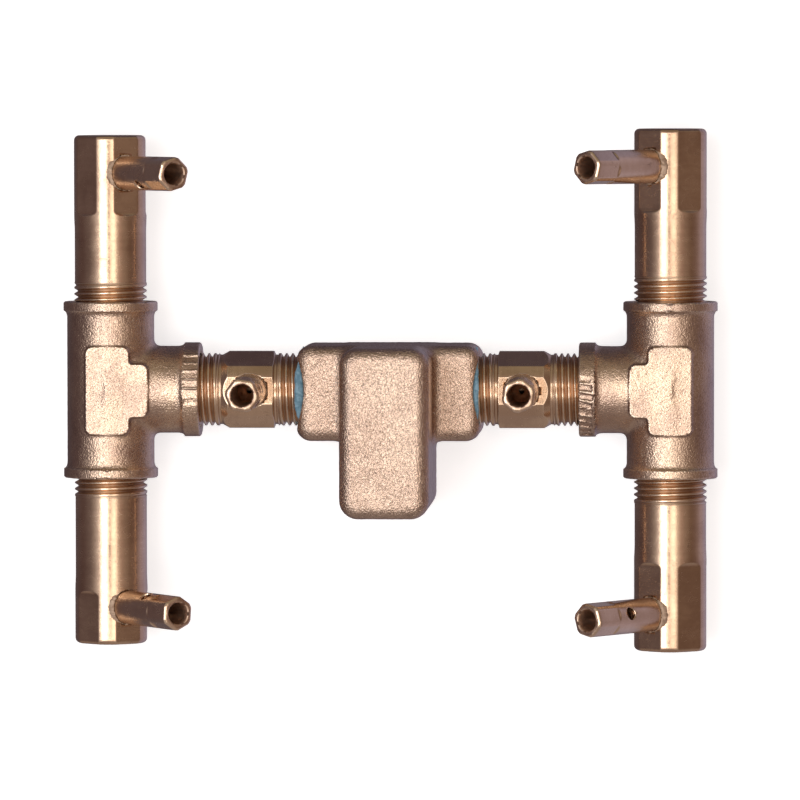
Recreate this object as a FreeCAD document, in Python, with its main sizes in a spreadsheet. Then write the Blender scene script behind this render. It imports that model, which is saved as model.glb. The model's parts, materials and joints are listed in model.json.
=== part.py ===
"""H-shaped brass gas burner: a cast hub, two nipples, two tees, four barrels and six jets.

Frame: +X to the right jet bank, +Y to the rear, +Z up along the upright jets. The origin is on the
resting plane under the middle of the H. Lengths are millimetres, angles are degrees.
"""
import FreeCAD, Part
import os
import Sketcher

# Driving dimensions: alias, value, meaning.
SIZES = [
    ("tee_offset", 82.0, "pipe run of each tee, from the middle plane"),
    ("tee_half_run", 25.85, "middle of the tee to a run face"),
    ("tee_branch_reach", 26.7, "run axis to the branch face"),
    ("tee_body_radius", 12.75, "cast wall between the bands"),
    ("tee_chamber_radius", 9.3, "cast hollow behind the threads"),
    ("band_radius", 13.85, "raised bands at the three mouths; they stand on the resting plane"),
    ("run_band", 2.7, "width of a band on the run"),
    ("branch_band", 4.8, "width of the band on the branch"),
    ("band_slope", 2.0, "length of the slope from a band down to the wall"),
    ("pad_top", 12.85, "flat of the raised T pad, above the pipe axis"),
    ("pad_run_half", 12.8, "T pad, half length along the run"),
    ("pad_run_side", 6.35, "T pad, half width across the run"),
    ("pad_tongue_reach", 11.85, "T pad, reach of the tongue towards the branch"),
    ("pad_tongue_side", 7.7, "T pad, half width of the tongue"),
    ("taper", 0.03125, "pipe thread: radius gained per millimetre of length"),
    ("clearance", 0.06, "radial play between mating threads"),
    ("pipe_pitch", 1.8143, "half inch pipe thread, 14 turns per inch"),
    ("pipe_small", 10.3, "its crest radius at the small end"),
    ("pipe_depth", 1.19, "its depth"),
    ("pipe_flat", 0.22, "width of its crest and root"),
    ("pipe_cap", 10.625, "largest crest radius of its male thread, from the bar it was cut on"),
    ("jet_pitch", 0.9407, "eighth inch pipe thread, 27 turns per inch"),
    ("jet_small", 4.75, "its crest radius at the small end"),
    ("jet_depth", 0.55, "its depth"),
    ("jet_flat", 0.14, "width of its crest and root"),
    ("countersink", 0.9, "width and depth of the countersink at a pipe port"),
    ("barrel_length", 61.3, "barrel, small end of the thread to the closed end"),
    ("barrel_radius", 10.45, "barrel wall, outside"),
    ("barrel_bore", 5.5, "gas bore of barrels and nipples"),
    ("barrel_floor", 5.0, "solid metal behind the closed end"),
    ("head_radius", 10.6, "faceted head of the barrel"),
    ("head_length", 25.0, "length of the faceted head"),
    ("short_head", 18.0, "the same, where the flats were milled short"),
    ("head_flat", 9.85, "barrel axis to a flat of the head"),
    ("rim", 1.5, "chamfer around the closed end"),
    ("jet_setback", 11.0, "closed end of the barrel to the jet axis"),
    ("nipple_radius", 11.3, "middle section of a nipple"),
    ("nipple_flat", 10.6, "nipple axis to a flat"),
    ("nipple_neck", 10.2, "plain neck beside the middle section"),
    ("nipple_hub_neck", 1.1, "neck on the hub side"),
    ("nipple_middle", 13.37, "length of the middle section"),
    ("nipple_slope", 2.0, "cone on the tee side of the middle section"),
    ("nipple_tee_neck", 0.85, "neck on the tee side"),
    ("centre_jet_shift", 0.3, "upright jet, from the middle of the flats towards the tee"),
    ("jet_length", 33.5, "jet, end to end"),
    ("jet_radius", 4.95, "jet, outside"),
    ("jet_bore", 3.15, "mixing bore of a jet, radius"),
    ("jet_orifice", 0.8, "metering orifice, radius"),
    ("jet_base", 4.0, "solid base that the orifice is drilled through"),
    ("jet_flat_distance", 4.6, "jet axis to a wrench flat"),
    ("jet_flat_length", 10.5, "wrench flats, from the tip"),
    ("air_hole", 1.9, "mixing-air hole, radius"),
    ("air_hole_setback", 15.0, "jet tip to the mixing-air hole"),
    ("spot_radius", 5.6, "spot face around a jet, radius"),
    ("spot_depth", 0.35, "depth of the spot face"),
    ("hub_bore", 9.3, "cross passage of the hub, radius"),
    ("link_bore", 4.5, "passage from the inlet to the cross passage, radius"),
    ("arm_reach", 27.1, "hub, middle to the face of an arm"),
    ("arm_rear", 13.25, "hub arm, rear side"),
    ("arm_front", 14.7, "hub arm, front side"),
    ("arm_top", 13.0, "hub arm, top above the pipe axis"),
    ("arm_corner", 4.5, "hub arm, upright corners"),
    ("stem_half", 13.0, "hub stem, half width"),
    ("stem_rear", 13.4, "hub stem, rear side"),
    ("stem_front", 35.95, "hub stem, front side"),
    ("stem_top", 40.0, "hub stem, top above the pipe axis"),
    ("stem_corner", 5.4, "hub stem, upright corners"),
    ("edge_round", 3.6, "rounding of the top edges of the hub"),
    ("dish_radius", 15.0, "dished mouth of a hub port, at the face"),
    ("dish_throat", 11.2, "dished mouth, at the thread"),
    ("dish_depth", 3.0, "depth of the dished mouth"),
    ("inlet_front", 22.0, "gas inlet, forward of the pipe axis"),
    ("inlet_radius", 9.15, "tapping size of the half inch inlet thread"),
    ("inlet_length", 14.0, "depth of the inlet thread"),
    ("plenum_radius", 7.5, "cored plenum above the inlet"),
    ("plenum_top", 44.0, "top of the plenum above the resting plane"),
    ("seal_gap", 0.04, "play around a bead of thread sealant"),
    ("jet_bead_width", 0.55, "bead on a spot face, across"),
    ("port_bead_low", 0.72, "bead in a countersink, its foot below the face"),
    ("port_bead_high", 0.18, "bead in a countersink, its rim below the face"),
    ("dish_bead_low", 2.88, "bead in a dished mouth, its foot below the face"),
    ("dish_bead_high", 1.5, "bead in a dished mouth, its rim below the face"),
]
ENGAGED_TURNS = 7
MALE_TURNS = 10
JET_TURNS = 5
BARREL_JET_TURNS = 4
CENTRE_JET_TURNS = 3
HEAD_FLATS = 5
HEX_FLATS = 6

# Barrel name: side of the H, end of the H, turns backed off, cell with the length of its head, lean
# of its jet from upright, clock angle of the jet's air hole around the jet.
BARRELS = {
    "rear_left": (-1, 1, 0, "head_length", 32.7, -134.0),
    "front_left": (-1, -1, 0, "short_head", 34.2, 116.0),
    "rear_right": (1, 1, 1, "head_length", 37.5, 165.0),
    "front_right": (1, -1, 1, "head_length", 37.0, 17.0),
}
# Side name: side of the H, turns that the nipple is backed off at the tee, clock angle of the air
# hole of its upright jet.
SIDES = {
    "left": (-1, 0, 22.0),
    "right": (1, 1, -8.0),
}
MARGIN = 1.0
NEAR = 1e-3
UNCAPPED = "100"

X_AXIS = FreeCAD.Vector(1, 0, 0)
Y_AXIS = FreeCAD.Vector(0, 1, 0)
Z_AXIS = FreeCAD.Vector(0, 0, 1)

doc = FreeCAD.newDocument("burner")
sheet = doc.addObject("Spreadsheet::Sheet", "Sizes")
for row, (alias, number, meaning) in enumerate(SIZES, start=1):
    sheet.set(f"A{row}", alias)
    sheet.set(f"B{row}", str(number))
    sheet.set(f"C{row}", meaning)
    sheet.setAlias(f"B{row}", alias)
doc.recompute()


def size(alias):
    """Number held by one cell of the sheet."""
    return float(sheet.get(alias))


def cell(alias):
    """The cell as it is written inside an expression."""
    return f"Sizes.{alias}"


def number_of(expression):
    """Present value of an expression."""
    return float(sheet.evalExpression(expression))


def new_body(label):
    """An empty body whose label names the node."""
    body = doc.addObject("PartDesign::Body", label)
    body.Label = label
    return body


def origin_feature(body, role):
    """Origin plane or axis of a body."""
    return next(item for item in body.Origin.OriginFeatures if item.Role == role)


def new_sketch(body, name, plane, offset):
    """Sketch on an origin plane of the body, moved by (x, y, z) in the sketch's own axes."""
    sketch = body.newObject("Sketcher::SketchObject", name)
    sketch.AttachmentSupport = [(origin_feature(body, plane), "")]
    sketch.MapMode = "FlatFace"
    for axis, expression in zip("xyz", offset):
        sketch.setExpression(f"AttachmentOffset.Base.{axis}", expression)
    return sketch


def outline(body, name, plane, points, offset=("0", "0", "0")):
    """Closed outline through points given as pairs of expressions."""
    sketch = new_sketch(body, name, plane, offset)
    corners = [FreeCAD.Vector(number_of(first), number_of(second), 0) for first, second in points]
    count = len(corners)
    for index in range(count):
        sketch.addGeometry(Part.LineSegment(corners[index], corners[(index + 1) % count]), False)
    rules = [Sketcher.Constraint("Coincident", index, 2, (index + 1) % count, 1) for index in range(count)]
    for index, corner in enumerate(corners):
        rules.append(Sketcher.Constraint("DistanceX", -1, 1, index, 1, corner.x))
        rules.append(Sketcher.Constraint("DistanceY", -1, 1, index, 1, corner.y))
    sketch.addConstraint(rules)
    for index, (first, second) in enumerate(points):
        sketch.setExpression(f"Constraints[{count + 2 * index}]", first)
        sketch.setExpression(f"Constraints[{count + 2 * index + 1}]", second)
    return sketch


def circle(body, name, plane, radius, offset=("0", "0", "0")):
    """Circle around the sketch's origin."""
    sketch = new_sketch(body, name, plane, offset)
    sketch.addGeometry(Part.Circle(FreeCAD.Vector(), Z_AXIS, number_of(radius)), False)
    sketch.addConstraint([
        Sketcher.Constraint("Coincident", 0, 3, -1, 1),
        Sketcher.Constraint("Radius", 0, number_of(radius)),
    ])
    sketch.setExpression("Constraints[1]", radius)
    return sketch


def turned(body, sketch, axis, cut=False):
    """Revolution, or groove, of a sketch around its own H_Axis or V_Axis."""
    kind = "PartDesign::Groove" if cut else "PartDesign::Revolution"
    feature = body.newObject(kind, f"{sketch.Name}_turned")
    feature.Profile = sketch
    feature.ReferenceAxis = (sketch, [axis])
    feature.Angle = 360
    return feature


def extruded(body, sketch, length, cut=False, flip=False):
    """Pad or pocket of a sketch."""
    kind = "PartDesign::Pocket" if cut else "PartDesign::Pad"
    feature = body.newObject(kind, f"{sketch.Name}_length")
    feature.Profile = sketch
    feature.Reversed = flip
    feature.setExpression("Length", length)
    return feature


def around(body, feature, count):
    """Equal copies of a feature around the body's Z axis."""
    pattern = body.newObject("PartDesign::PolarPattern", f"{feature.Name}_around")
    pattern.Originals = [feature]
    pattern.Axis = (origin_feature(body, "Z_Axis"), [""])
    pattern.Angle = 360
    pattern.Occurrences = count
    body.Tip = pattern
    return pattern


def place(body, x, y, z, rotation):
    """Put a body in the burner's frame: expressions for the base, a Rotation for the attitude."""
    body.Placement = FreeCAD.Placement(FreeCAD.Vector(), rotation)
    for axis, expression in zip("xyz", (x, y, z)):
        body.setExpression(f"Placement.Base.{axis}", expression)


def thread_points(kind, turns, clearance, cap):
    """Corners (radius, distance) of a tapered thread form, from its small end.

    Each turn is a ring: a root flat, a flank, a crest flat and a flank. The cap limits the radius to
    the stock that the thread is cut on.
    """
    points = []
    for turn in range(turns):
        for share, depth in ((0, cell(f"{kind}_depth")), (0.5, "0")):
            near = f"{cell(kind + '_pitch')} * {turn + share}"
            for along in (near, f"{near} + {cell(kind + '_flat')}"):
                crest = f"{cell(kind + '_small')} + ({along}) * {cell('taper')}"
                points.append((f"min({crest}; {cap}) - {depth} + {clearance}", along))
    return points


def swapped(points):
    """The same points with their two coordinates exchanged."""
    return [(second, first) for first, second in points]


def cut_port(body, name, plane, kind, turns, small_end, sense, hollow_end, hollow_radius, offset, upright):
    """Cut a threaded port: a plain hollow, then rings that grow towards the mouth.

    Distances run along the port: small_end is where the mating thread starts, sense is +1 or -1
    towards the mouth, and hollow_end is how far in the plain hollow goes.
    """
    rings = thread_points(kind, turns, cell("clearance"), UNCAPPED)
    points = [("0", hollow_end), (hollow_radius, hollow_end), (hollow_radius, small_end)]
    points += [(radius, f"{small_end} + {sense} * ({along})") for radius, along in rings]
    last_radius, last_along = points[-1]
    mouth = f"{last_along} + {sense} * {MARGIN}"
    points += [(last_radius, mouth), ("0", mouth)]
    if not upright:
        points = swapped(points)
    sketch = outline(body, name, plane, points, offset)
    return turned(body, sketch, "V_Axis" if upright else "H_Axis", cut=True)


def cut_cone(body, name, plane, mouth, inner, outer_radius, inner_radius, offset, upright):
    """Cut a conical mouth that starts at the face and narrows inwards."""
    points = [("0", mouth), (outer_radius, mouth), (inner_radius, inner), ("0", inner)]
    if not upright:
        points = swapped(points)
    sketch = outline(body, name, plane, points, offset)
    return turned(body, sketch, "V_Axis" if upright else "H_Axis", cut=True)


def cut_jet_port(body, flat, along, turns):
    """Cut the threaded port of a jet and its spot face, square to a flat, at a place along the body."""
    offset = ("0", along, "0")
    small_end = f"{flat} - {turns} * {cell('jet_pitch')}"
    cut_port(body, "jet_port", "XZ_Plane", "jet", turns + 1, small_end, 1, "0", cell("jet_small"),
             offset, False)
    floor = f"{flat} - {cell('spot_depth')}"
    points = [(floor, "0"), (floor, cell("spot_radius")),
              (f"{flat} + {MARGIN}", cell("spot_radius")), (f"{flat} + {MARGIN}", "0")]
    turned(body, outline(body, "spot_face", "XZ_Plane", points, offset), "H_Axis", cut=True)


def cut_flats(body, name, distance, start, length, count):
    """Cut wrench flats around a body turned about Z, from a start height upwards."""
    side = f"{cell('nipple_radius')} + {MARGIN}"
    points = [(distance, f"-({side})"), (side, f"-({side})"), (side, side), (distance, side)]
    sketch = outline(body, name, "XY_Plane", points, ("0", "0", start))
    around(body, extruded(body, sketch, length, cut=True, flip=True), count)


def make_barrel(label, head_length):
    """Closed barrel along Z: thread from the origin up, faceted head with one jet port towards +X."""
    body = new_body(label)
    head = f"{cell('barrel_length')} - {cell(head_length)}"
    points = [("0", "0")]
    points += thread_points("pipe", MALE_TURNS, "0", cell("pipe_cap"))
    points += [
        (cell("barrel_radius"), f"{cell('pipe_pitch')} * {MALE_TURNS}"),
        (cell("barrel_radius"), head),
        (cell("head_radius"), f"{head} + {cell('rim')} / 2"),
        (cell("head_radius"), f"{cell('barrel_length')} - {cell('rim')}"),
        (f"{cell('head_radius')} - {cell('rim')}", cell("barrel_length")),
        ("0", cell("barrel_length")),
    ]
    turned(body, outline(body, "wall", "XZ_Plane", points), "V_Axis")
    cut_flats(body, "head_flat_edge", cell("head_flat"), head, cell(head_length), HEAD_FLATS)
    bore = circle(body, "gas_bore", "XY_Plane", cell("barrel_bore"))
    extruded(body, bore, f"{cell('barrel_length')} - {cell('barrel_floor')}", cut=True, flip=True)
    along = f"{cell('barrel_length')} - {cell('jet_setback')}"
    cut_jet_port(body, cell("head_flat"), along, BARREL_JET_TURNS)
    return body


def nipple_heights():
    """Heights of the nipple's sections, from the small end on the hub side."""
    thread = f"{cell('pipe_pitch')} * {MALE_TURNS}"
    middle = f"{thread} + {cell('nipple_hub_neck')}"
    slope = f"{middle} + {cell('nipple_middle')}"
    neck = f"{slope} + {cell('nipple_slope')}"
    far_thread = f"{neck} + {cell('nipple_tee_neck')}"
    top = f"{far_thread} + {thread}"
    return thread, middle, slope, neck, far_thread, top


def make_nipple(label):
    """Nipple along Z: hub thread below, flats and a jet port towards +X, tee thread above."""
    body = new_body(label)
    thread, middle, slope, neck, far_thread, top = nipple_heights()
    below = thread_points("pipe", MALE_TURNS, "0", cell("pipe_cap"))
    above = [(radius, f"{top} - ({along})") for radius, along in reversed(below)]
    points = [("0", "0")] + below + [
        (cell("nipple_neck"), thread),
        (cell("nipple_neck"), middle),
        (cell("nipple_radius"), f"{middle} + {cell('rim')} / 4"),
        (cell("nipple_radius"), slope),
        (cell("nipple_neck"), neck),
        (cell("nipple_neck"), far_thread),
    ] + above + [("0", top)]
    turned(body, outline(body, "wall", "XZ_Plane", points), "V_Axis")
    cut_flats(body, "flat_edge", cell("nipple_flat"), middle, cell("nipple_middle"), HEX_FLATS)
    bore = circle(body, "gas_bore", "XY_Plane", cell("barrel_bore"))
    extruded(body, bore, top, cut=True, flip=True)
    along = f"{middle} + {cell('nipple_middle')} / 2 + {cell('centre_jet_shift')}"
    cut_jet_port(body, cell("nipple_flat"), along, CENTRE_JET_TURNS)
    return body


def make_tee(label):
    """Cast tee: run along Y, branch towards +X, raised pad towards +Z."""
    body = new_body(label)
    wall = cell("tee_body_radius")
    band = cell("band_radius")
    face = cell("tee_half_run")
    shoulder = f"{face} - {cell('run_band')}"
    foot = f"{shoulder} - {cell('band_slope')}"
    half = [(wall, foot), (band, shoulder), (band, face)]
    mirrored = [(radius, f"-({along})") for radius, along in reversed(half)]
    points = [("0", f"-{face}")] + mirrored + half + [("0", face)]
    turned(body, outline(body, "run_wall", "XY_Plane", points), "V_Axis")

    reach = cell("tee_branch_reach")
    shoulder = f"{reach} - {cell('branch_band')}"
    foot = f"{shoulder} - {cell('band_slope')}"
    points = [("0", "0"), ("0", wall), (foot, wall), (shoulder, band), (reach, band), (reach, "0")]
    turned(body, outline(body, "branch_wall", "XY_Plane", points), "H_Axis")

    long_side = cell("pad_run_half")
    side = cell("pad_run_side")
    tongue = cell("pad_tongue_side")
    tip = cell("pad_tongue_reach")
    points = [(f"-{side}", f"-{long_side}"), (side, f"-{long_side}"), (side, f"-{tongue}"),
              (tip, f"-{tongue}"), (tip, tongue), (side, tongue), (side, long_side),
              (f"-{side}", long_side)]
    extruded(body, outline(body, "raised_pad", "XY_Plane", points), cell("pad_top"))

    chamber = cell("tee_chamber_radius")
    sink = cell("countersink")
    mouth_radius = f"{cell('pipe_small')} + {cell('pipe_pitch')} * {ENGAGED_TURNS} * {cell('taper')} + {sink}"
    throat_radius = f"{mouth_radius} - {sink}"
    flat = ("0", "0", "0")
    engaged = f"{ENGAGED_TURNS} * {cell('pipe_pitch')}"
    for end, sense in (("rear", 1), ("front", -1)):
        small_end = f"{sense} * ({face} - {engaged})"
        cut_port(body, f"{end}_port", "XY_Plane", "pipe", ENGAGED_TURNS, small_end, sense,
                 "0", chamber, flat, True)
        cut_cone(body, f"{end}_sink", "XY_Plane", f"{sense} * {face}", f"{sense} * ({face} - {sink})",
                 mouth_radius, throat_radius, flat, True)
    cut_port(body, "branch_port", "XY_Plane", "pipe", ENGAGED_TURNS, f"{reach} - {engaged}", 1,
             "0", chamber, flat, False)
    cut_cone(body, "branch_sink", "XY_Plane", reach, f"{reach} - {sink}", mouth_radius, throat_radius,
             flat, False)
    return body


def make_jet(label):
    """Jet along Z: thread from the origin up, orifice, mixing bore, wrench flats, air hole."""
    body = new_body(label)
    top = cell("jet_length")
    points = [("0", "0")]
    points += thread_points("jet", JET_TURNS, "0", cell("jet_radius"))
    points += [
        (cell("jet_radius"), f"{cell('jet_pitch')} * {JET_TURNS}"),
        (cell("jet_radius"), top),
        ("0", top),
    ]
    turned(body, outline(body, "wall", "XZ_Plane", points), "V_Axis")
    cut_flats(body, "flat_edge", cell("jet_flat_distance"), f"{top} - {cell('jet_flat_length')}",
              cell("jet_flat_length"), HEX_FLATS)
    orifice = circle(body, "orifice", "XY_Plane", cell("jet_orifice"))
    extruded(body, orifice, top, cut=True, flip=True)
    bore = circle(body, "mixing_bore", "XY_Plane", cell("jet_bore"), ("0", "0", cell("jet_base")))
    extruded(body, bore, top, cut=True, flip=True)
    hole = circle(body, "air_hole", "YZ_Plane", cell("air_hole"),
                  ("0", f"{top} - {cell('air_hole_setback')}", "0"))
    extruded(body, hole, f"{cell('jet_radius')} + {MARGIN}", cut=True, flip=True)
    return body


def make_ring(label, points):
    """Bead of thread sealant: a ring around Z."""
    body = new_body(label)
    turned(body, outline(body, "bead", "XZ_Plane", points), "V_Axis")
    return body


def edges_where(shape, test):
    """Names of the edges whose two ends both pass a test."""
    names = []
    for index, edge in enumerate(shape.Edges, start=1):
        if len(edge.Vertexes) == 2 and all(test(vertex.Point) for vertex in edge.Vertexes):
            names.append(f"Edge{index}")
    return names


def is_upright(shape, name):
    """True for an edge that runs along Z."""
    first, last = (vertex.Point for vertex in shape.getElement(name).Vertexes)
    return (last - first).cross(Z_AXIS).Length < NEAR


def rounded(body, name, base, edges, radius):
    """Fillet of named edges of the last feature."""
    feature = body.newObject("PartDesign::Fillet", name)
    feature.Base = (base, edges)
    feature.setExpression("Radius", radius)
    doc.recompute()
    return feature


def rectangle(low_x, high_x, low_y, high_y):
    """Corners of a rectangle."""
    return [(low_x, low_y), (high_x, low_y), (high_x, high_y), (low_x, high_y)]


def cast_block(body, name, corners, height, corner_radius, is_free):
    """Pad a rectangle from the resting plane up, then round its free upright and top edges."""
    pad = extruded(body, outline(body, name, "XY_Plane", corners), height)
    doc.recompute()
    upright = [edge for edge in edges_where(pad.Shape, is_free) if is_upright(pad.Shape, edge)]
    block = rounded(body, f"{name}_corners", pad, upright, corner_radius)
    level = number_of(height)
    rim = edges_where(block.Shape, lambda point: abs(point.z - level) < NEAR)
    inner = size("stem_half") + NEAR
    rim = [edge for edge in rim if is_rim(block.Shape.getElement(edge), inner, name)]
    return rounded(body, f"{name}_rim", block, rim, cell("edge_round"))


def is_rim(edge, inner, name):
    """True for an outer top edge: all of them on the stem, those beyond the stem on the arms."""
    if name == "stem":
        return True
    return max(abs(vertex.Point.x) for vertex in edge.Vertexes) > inner


def make_hub(label):
    """Cast hub: a tall stem, two arms, a threaded port in each arm and the gas inlet underneath."""
    body = new_body(label)
    half = cell("stem_half")
    corners = rectangle(f"-{half}", half, f"-{cell('stem_front')}", cell("stem_rear"))
    top = f"{cell('band_radius')} + {cell('stem_top')}"
    cast_block(body, "stem", corners, top, cell("stem_corner"), lambda point: True)

    reach = cell("arm_reach")
    corners = rectangle(f"-{reach}", reach, f"-{cell('arm_front')}", cell("arm_rear"))
    top = f"{cell('band_radius')} + {cell('arm_top')}"
    far = size("arm_reach") - NEAR
    cast_block(body, "arms", corners, top, cell("arm_corner"), lambda point: abs(point.x) > far)

    centre = ("0", cell("band_radius"), "0")
    small_end = f"{cell('tee_offset')} - {cell('tee_branch_reach')}"
    small_end = f"{small_end} + {ENGAGED_TURNS - 1} * {cell('pipe_pitch')} - ({nipple_heights()[-1]})"
    for end, sense in (("right", 1), ("left", -1)):
        cut_port(body, f"{end}_port", "XZ_Plane", "pipe", ENGAGED_TURNS, f"{sense} * ({small_end})",
                 sense, "0", cell("hub_bore"), centre, False)
        cut_cone(body, f"{end}_dish", "XZ_Plane", f"{sense} * {reach}",
                 f"{sense} * ({reach} - {cell('dish_depth')})", cell("dish_radius"),
                 cell("dish_throat"), centre, False)

    wide = cell("inlet_radius")
    narrow = cell("plenum_radius")
    depth = cell("inlet_length")
    peak = cell("plenum_top")
    sink = cell("countersink")
    points = [("0", "0"), (f"{wide} + {sink}", "0"), (wide, sink), (wide, depth),
              (narrow, f"{depth} + {wide} - {narrow}"), (narrow, f"{peak} - {narrow}"),
              (f"{narrow} / 2", peak), ("0", peak)]
    inlet = outline(body, "inlet", "YZ_Plane", points, (f"-{cell('inlet_front')}", "0", "0"))
    turned(body, inlet, "V_Axis", cut=True)
    link = circle(body, "link", "XZ_Plane", cell("link_bore"), centre)
    extruded(body, link, cell("inlet_front"), cut=True, flip=True)
    return body


def stand_on_axis(body, x, y, lean_vector, clock, seat):
    """Stand a jet, or its bead, on a point of a pipe axis: seat is its distance from that axis."""
    turn = FreeCAD.Rotation(Z_AXIS, lean_vector)
    rotation = turn.multiply(FreeCAD.Rotation(Z_AXIS, clock))
    place(body, f"{x} + {lean_vector.x} * ({seat})", y,
          f"{cell('band_radius')} + {lean_vector.z} * ({seat})", rotation)


def make_jet_bead(label, turns):
    """Bead on the spot face around a jet, in the jet's own frame."""
    floor = f"{turns} * {cell('jet_pitch')} - {cell('spot_depth')} + {cell('seal_gap')}"
    inner = f"{cell('jet_radius')} + {cell('seal_gap')}"
    outer = f"{inner} + {cell('jet_bead_width')}"
    shoulder = f"{floor} + {cell('spot_depth')} / 2"
    crown = f"{floor} + {cell('spot_depth')}"
    return make_ring(label, [(inner, floor), (outer, floor), (outer, shoulder), (inner, crown)])


def make_port_bead(label):
    """Bead in the countersink of a tee port; Z points out of the port and the face is at zero."""
    gap = cell("seal_gap")
    sink = cell("countersink")
    inner = f"{cell('pipe_cap')} + {gap}"
    mouth = f"{cell('pipe_small')} + {cell('pipe_pitch')} * {ENGAGED_TURNS} * {cell('taper')} + {sink}"
    low = cell("port_bead_low")
    high = cell("port_bead_high")
    return make_ring(label, [(inner, f"-{low}"), (f"{mouth} - {low} - 2 * {gap}", f"-{low}"),
                             (f"{mouth} - {high} - 2 * {gap}", f"-{high}"), (inner, "0")])


def make_dish_bead(label):
    """Bead in the dished mouth of a hub port; Z points out of the port and the face is at zero."""
    gap = cell("seal_gap")
    inner = f"{cell('pipe_cap')} + {gap}"
    depth = cell("dish_depth")
    slope = f"({cell('dish_radius')} - {cell('dish_throat')}) / {depth}"
    low = cell("dish_bead_low")
    high = cell("dish_bead_high")
    return make_ring(label, [
        (inner, f"-{low}"),
        (f"{cell('dish_radius')} - {slope} * {low} - 2 * {gap}", f"-{low}"),
        (f"{cell('dish_radius')} - {slope} * {high} - 2 * {gap}", f"-{high}"),
        (inner, f"-({high} - {gap})"),
    ])


def along_axis(outward, up):
    """Attitude with the body's Z along outward and its X along up."""
    return FreeCAD.Rotation(up, outward.cross(up), outward, "ZXY")


def make_side(side, sign, tee_back, clock):
    """Tee, nipple, upright jet and beads of one side of the H."""
    outward = X_AXIS * sign
    place(make_tee(f"{side}_tee"), f"{sign} * {cell('tee_offset')}", "0", cell("band_radius"),
          along_axis(Z_AXIS, outward * -1))

    mouth = f"{cell('tee_offset')} - {cell('tee_branch_reach')}"
    heights = nipple_heights()
    base = f"{mouth} + {ENGAGED_TURNS - tee_back} * {cell('pipe_pitch')} - ({heights[-1]})"
    place(make_nipple(f"{side}_nipple"), f"{sign} * ({base})", "0", cell("band_radius"),
          along_axis(outward, Z_AXIS))

    middle = f"{heights[1]} + {cell('nipple_middle')} / 2 + {cell('centre_jet_shift')}"
    jet_x = f"{sign} * ({base} + {middle})"
    seat = f"{cell('nipple_flat')} - {CENTRE_JET_TURNS} * {cell('jet_pitch')}"
    stand_on_axis(make_jet(f"{side}_centre_jet"), jet_x, "0", Z_AXIS, clock, seat)
    stand_on_axis(make_jet_bead(f"{side}_centre_jet_sealant", CENTRE_JET_TURNS), jet_x, "0", Z_AXIS, 0,
                  seat)

    place(make_dish_bead(f"{side}_hub_sealant"), f"{sign} * {cell('arm_reach')}", "0",
          cell("band_radius"), along_axis(outward, Z_AXIS))
    place(make_port_bead(f"{side}_branch_sealant"), f"{sign} * ({mouth})", "0", cell("band_radius"),
          along_axis(outward * -1, Z_AXIS))


def make_burner_end(name, side, end, back, head_length, lean, clock):
    """Barrel, angled jet and beads of one end of a tee."""
    outward = Y_AXIS * end
    lean_vector = FreeCAD.Rotation(Y_AXIS, -side * lean).multVec(Z_AXIS)
    x = f"{side} * {cell('tee_offset')}"
    start = f"{cell('tee_half_run')} - {ENGAGED_TURNS - back} * {cell('pipe_pitch')}"
    place(make_barrel(f"{name}_barrel", head_length), x, f"{end} * ({start})", cell("band_radius"),
          along_axis(outward, lean_vector))
    place(make_port_bead(f"{name}_run_sealant"), x, f"{end} * {cell('tee_half_run')}",
          cell("band_radius"), along_axis(outward, Z_AXIS))

    y = f"{end} * ({start} + {cell('barrel_length')} - {cell('jet_setback')})"
    seat = f"{cell('head_flat')} - {BARREL_JET_TURNS} * {cell('jet_pitch')}"
    stand_on_axis(make_jet(f"{name}_jet"), x, y, lean_vector, clock, seat)
    stand_on_axis(make_jet_bead(f"{name}_jet_sealant", BARREL_JET_TURNS), x, y, lean_vector, 0, seat)


make_hub("hub_body")
for side, settings in SIDES.items():
    make_side(side, *settings)
for name, settings in BARRELS.items():
    make_burner_end(name, *settings)
doc.recompute()

ADDING = ("PartDesign::Pad", "PartDesign::Revolution")
CUTTING = ("PartDesign::Pocket", "PartDesign::Groove", "PartDesign::PolarPattern")
bodies = [item for item in doc.Objects if item.TypeId == "PartDesign::Body"]
for item in doc.Objects:
    if "Invalid" in item.State or "Error" in item.State:
        raise RuntimeError(f"{item.Name} failed: {item.State}")
for body in bodies:
    volume = 0.0
    for feature in body.Group:
        if feature.TypeId in ADDING and feature.Shape.Volume <= volume:
            raise RuntimeError(f"{body.Label}: {feature.Name} added nothing")
        if feature.TypeId in CUTTING and feature.Shape.Volume >= volume:
            raise RuntimeError(f"{body.Label}: {feature.Name} cut nothing")
        if feature.isDerivedFrom("PartDesign::Feature"):
            volume = feature.Shape.Volume
    if body.Shape.isNull() or not body.Shape.isValid() or len(body.Shape.Solids) != 1:
        raise RuntimeError(f"{body.Label} is not one valid solid")

os.makedirs("parts", exist_ok=True)
for body in bodies:
    body.Shape.exportStep(os.path.join("parts", f"{body.Label}.step"))
    box = body.Shape.BoundBox
    print(f"{body.Label:28s} {body.Shape.Volume:10.1f} mm3  "
          f"x {box.XMin:7.2f} {box.XMax:7.2f}  y {box.YMin:7.2f} {box.YMax:7.2f}  "
          f"z {box.ZMin:7.2f} {box.ZMax:7.2f}")
print(len(bodies), "sub-parts")
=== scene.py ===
"""Looks of the H-shaped brass gas burner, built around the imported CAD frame.

Mesh code works in millimetres.
"""
import json
import math

import bpy
import numpy as np
from mathutils import Matrix, Vector, noise


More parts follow.
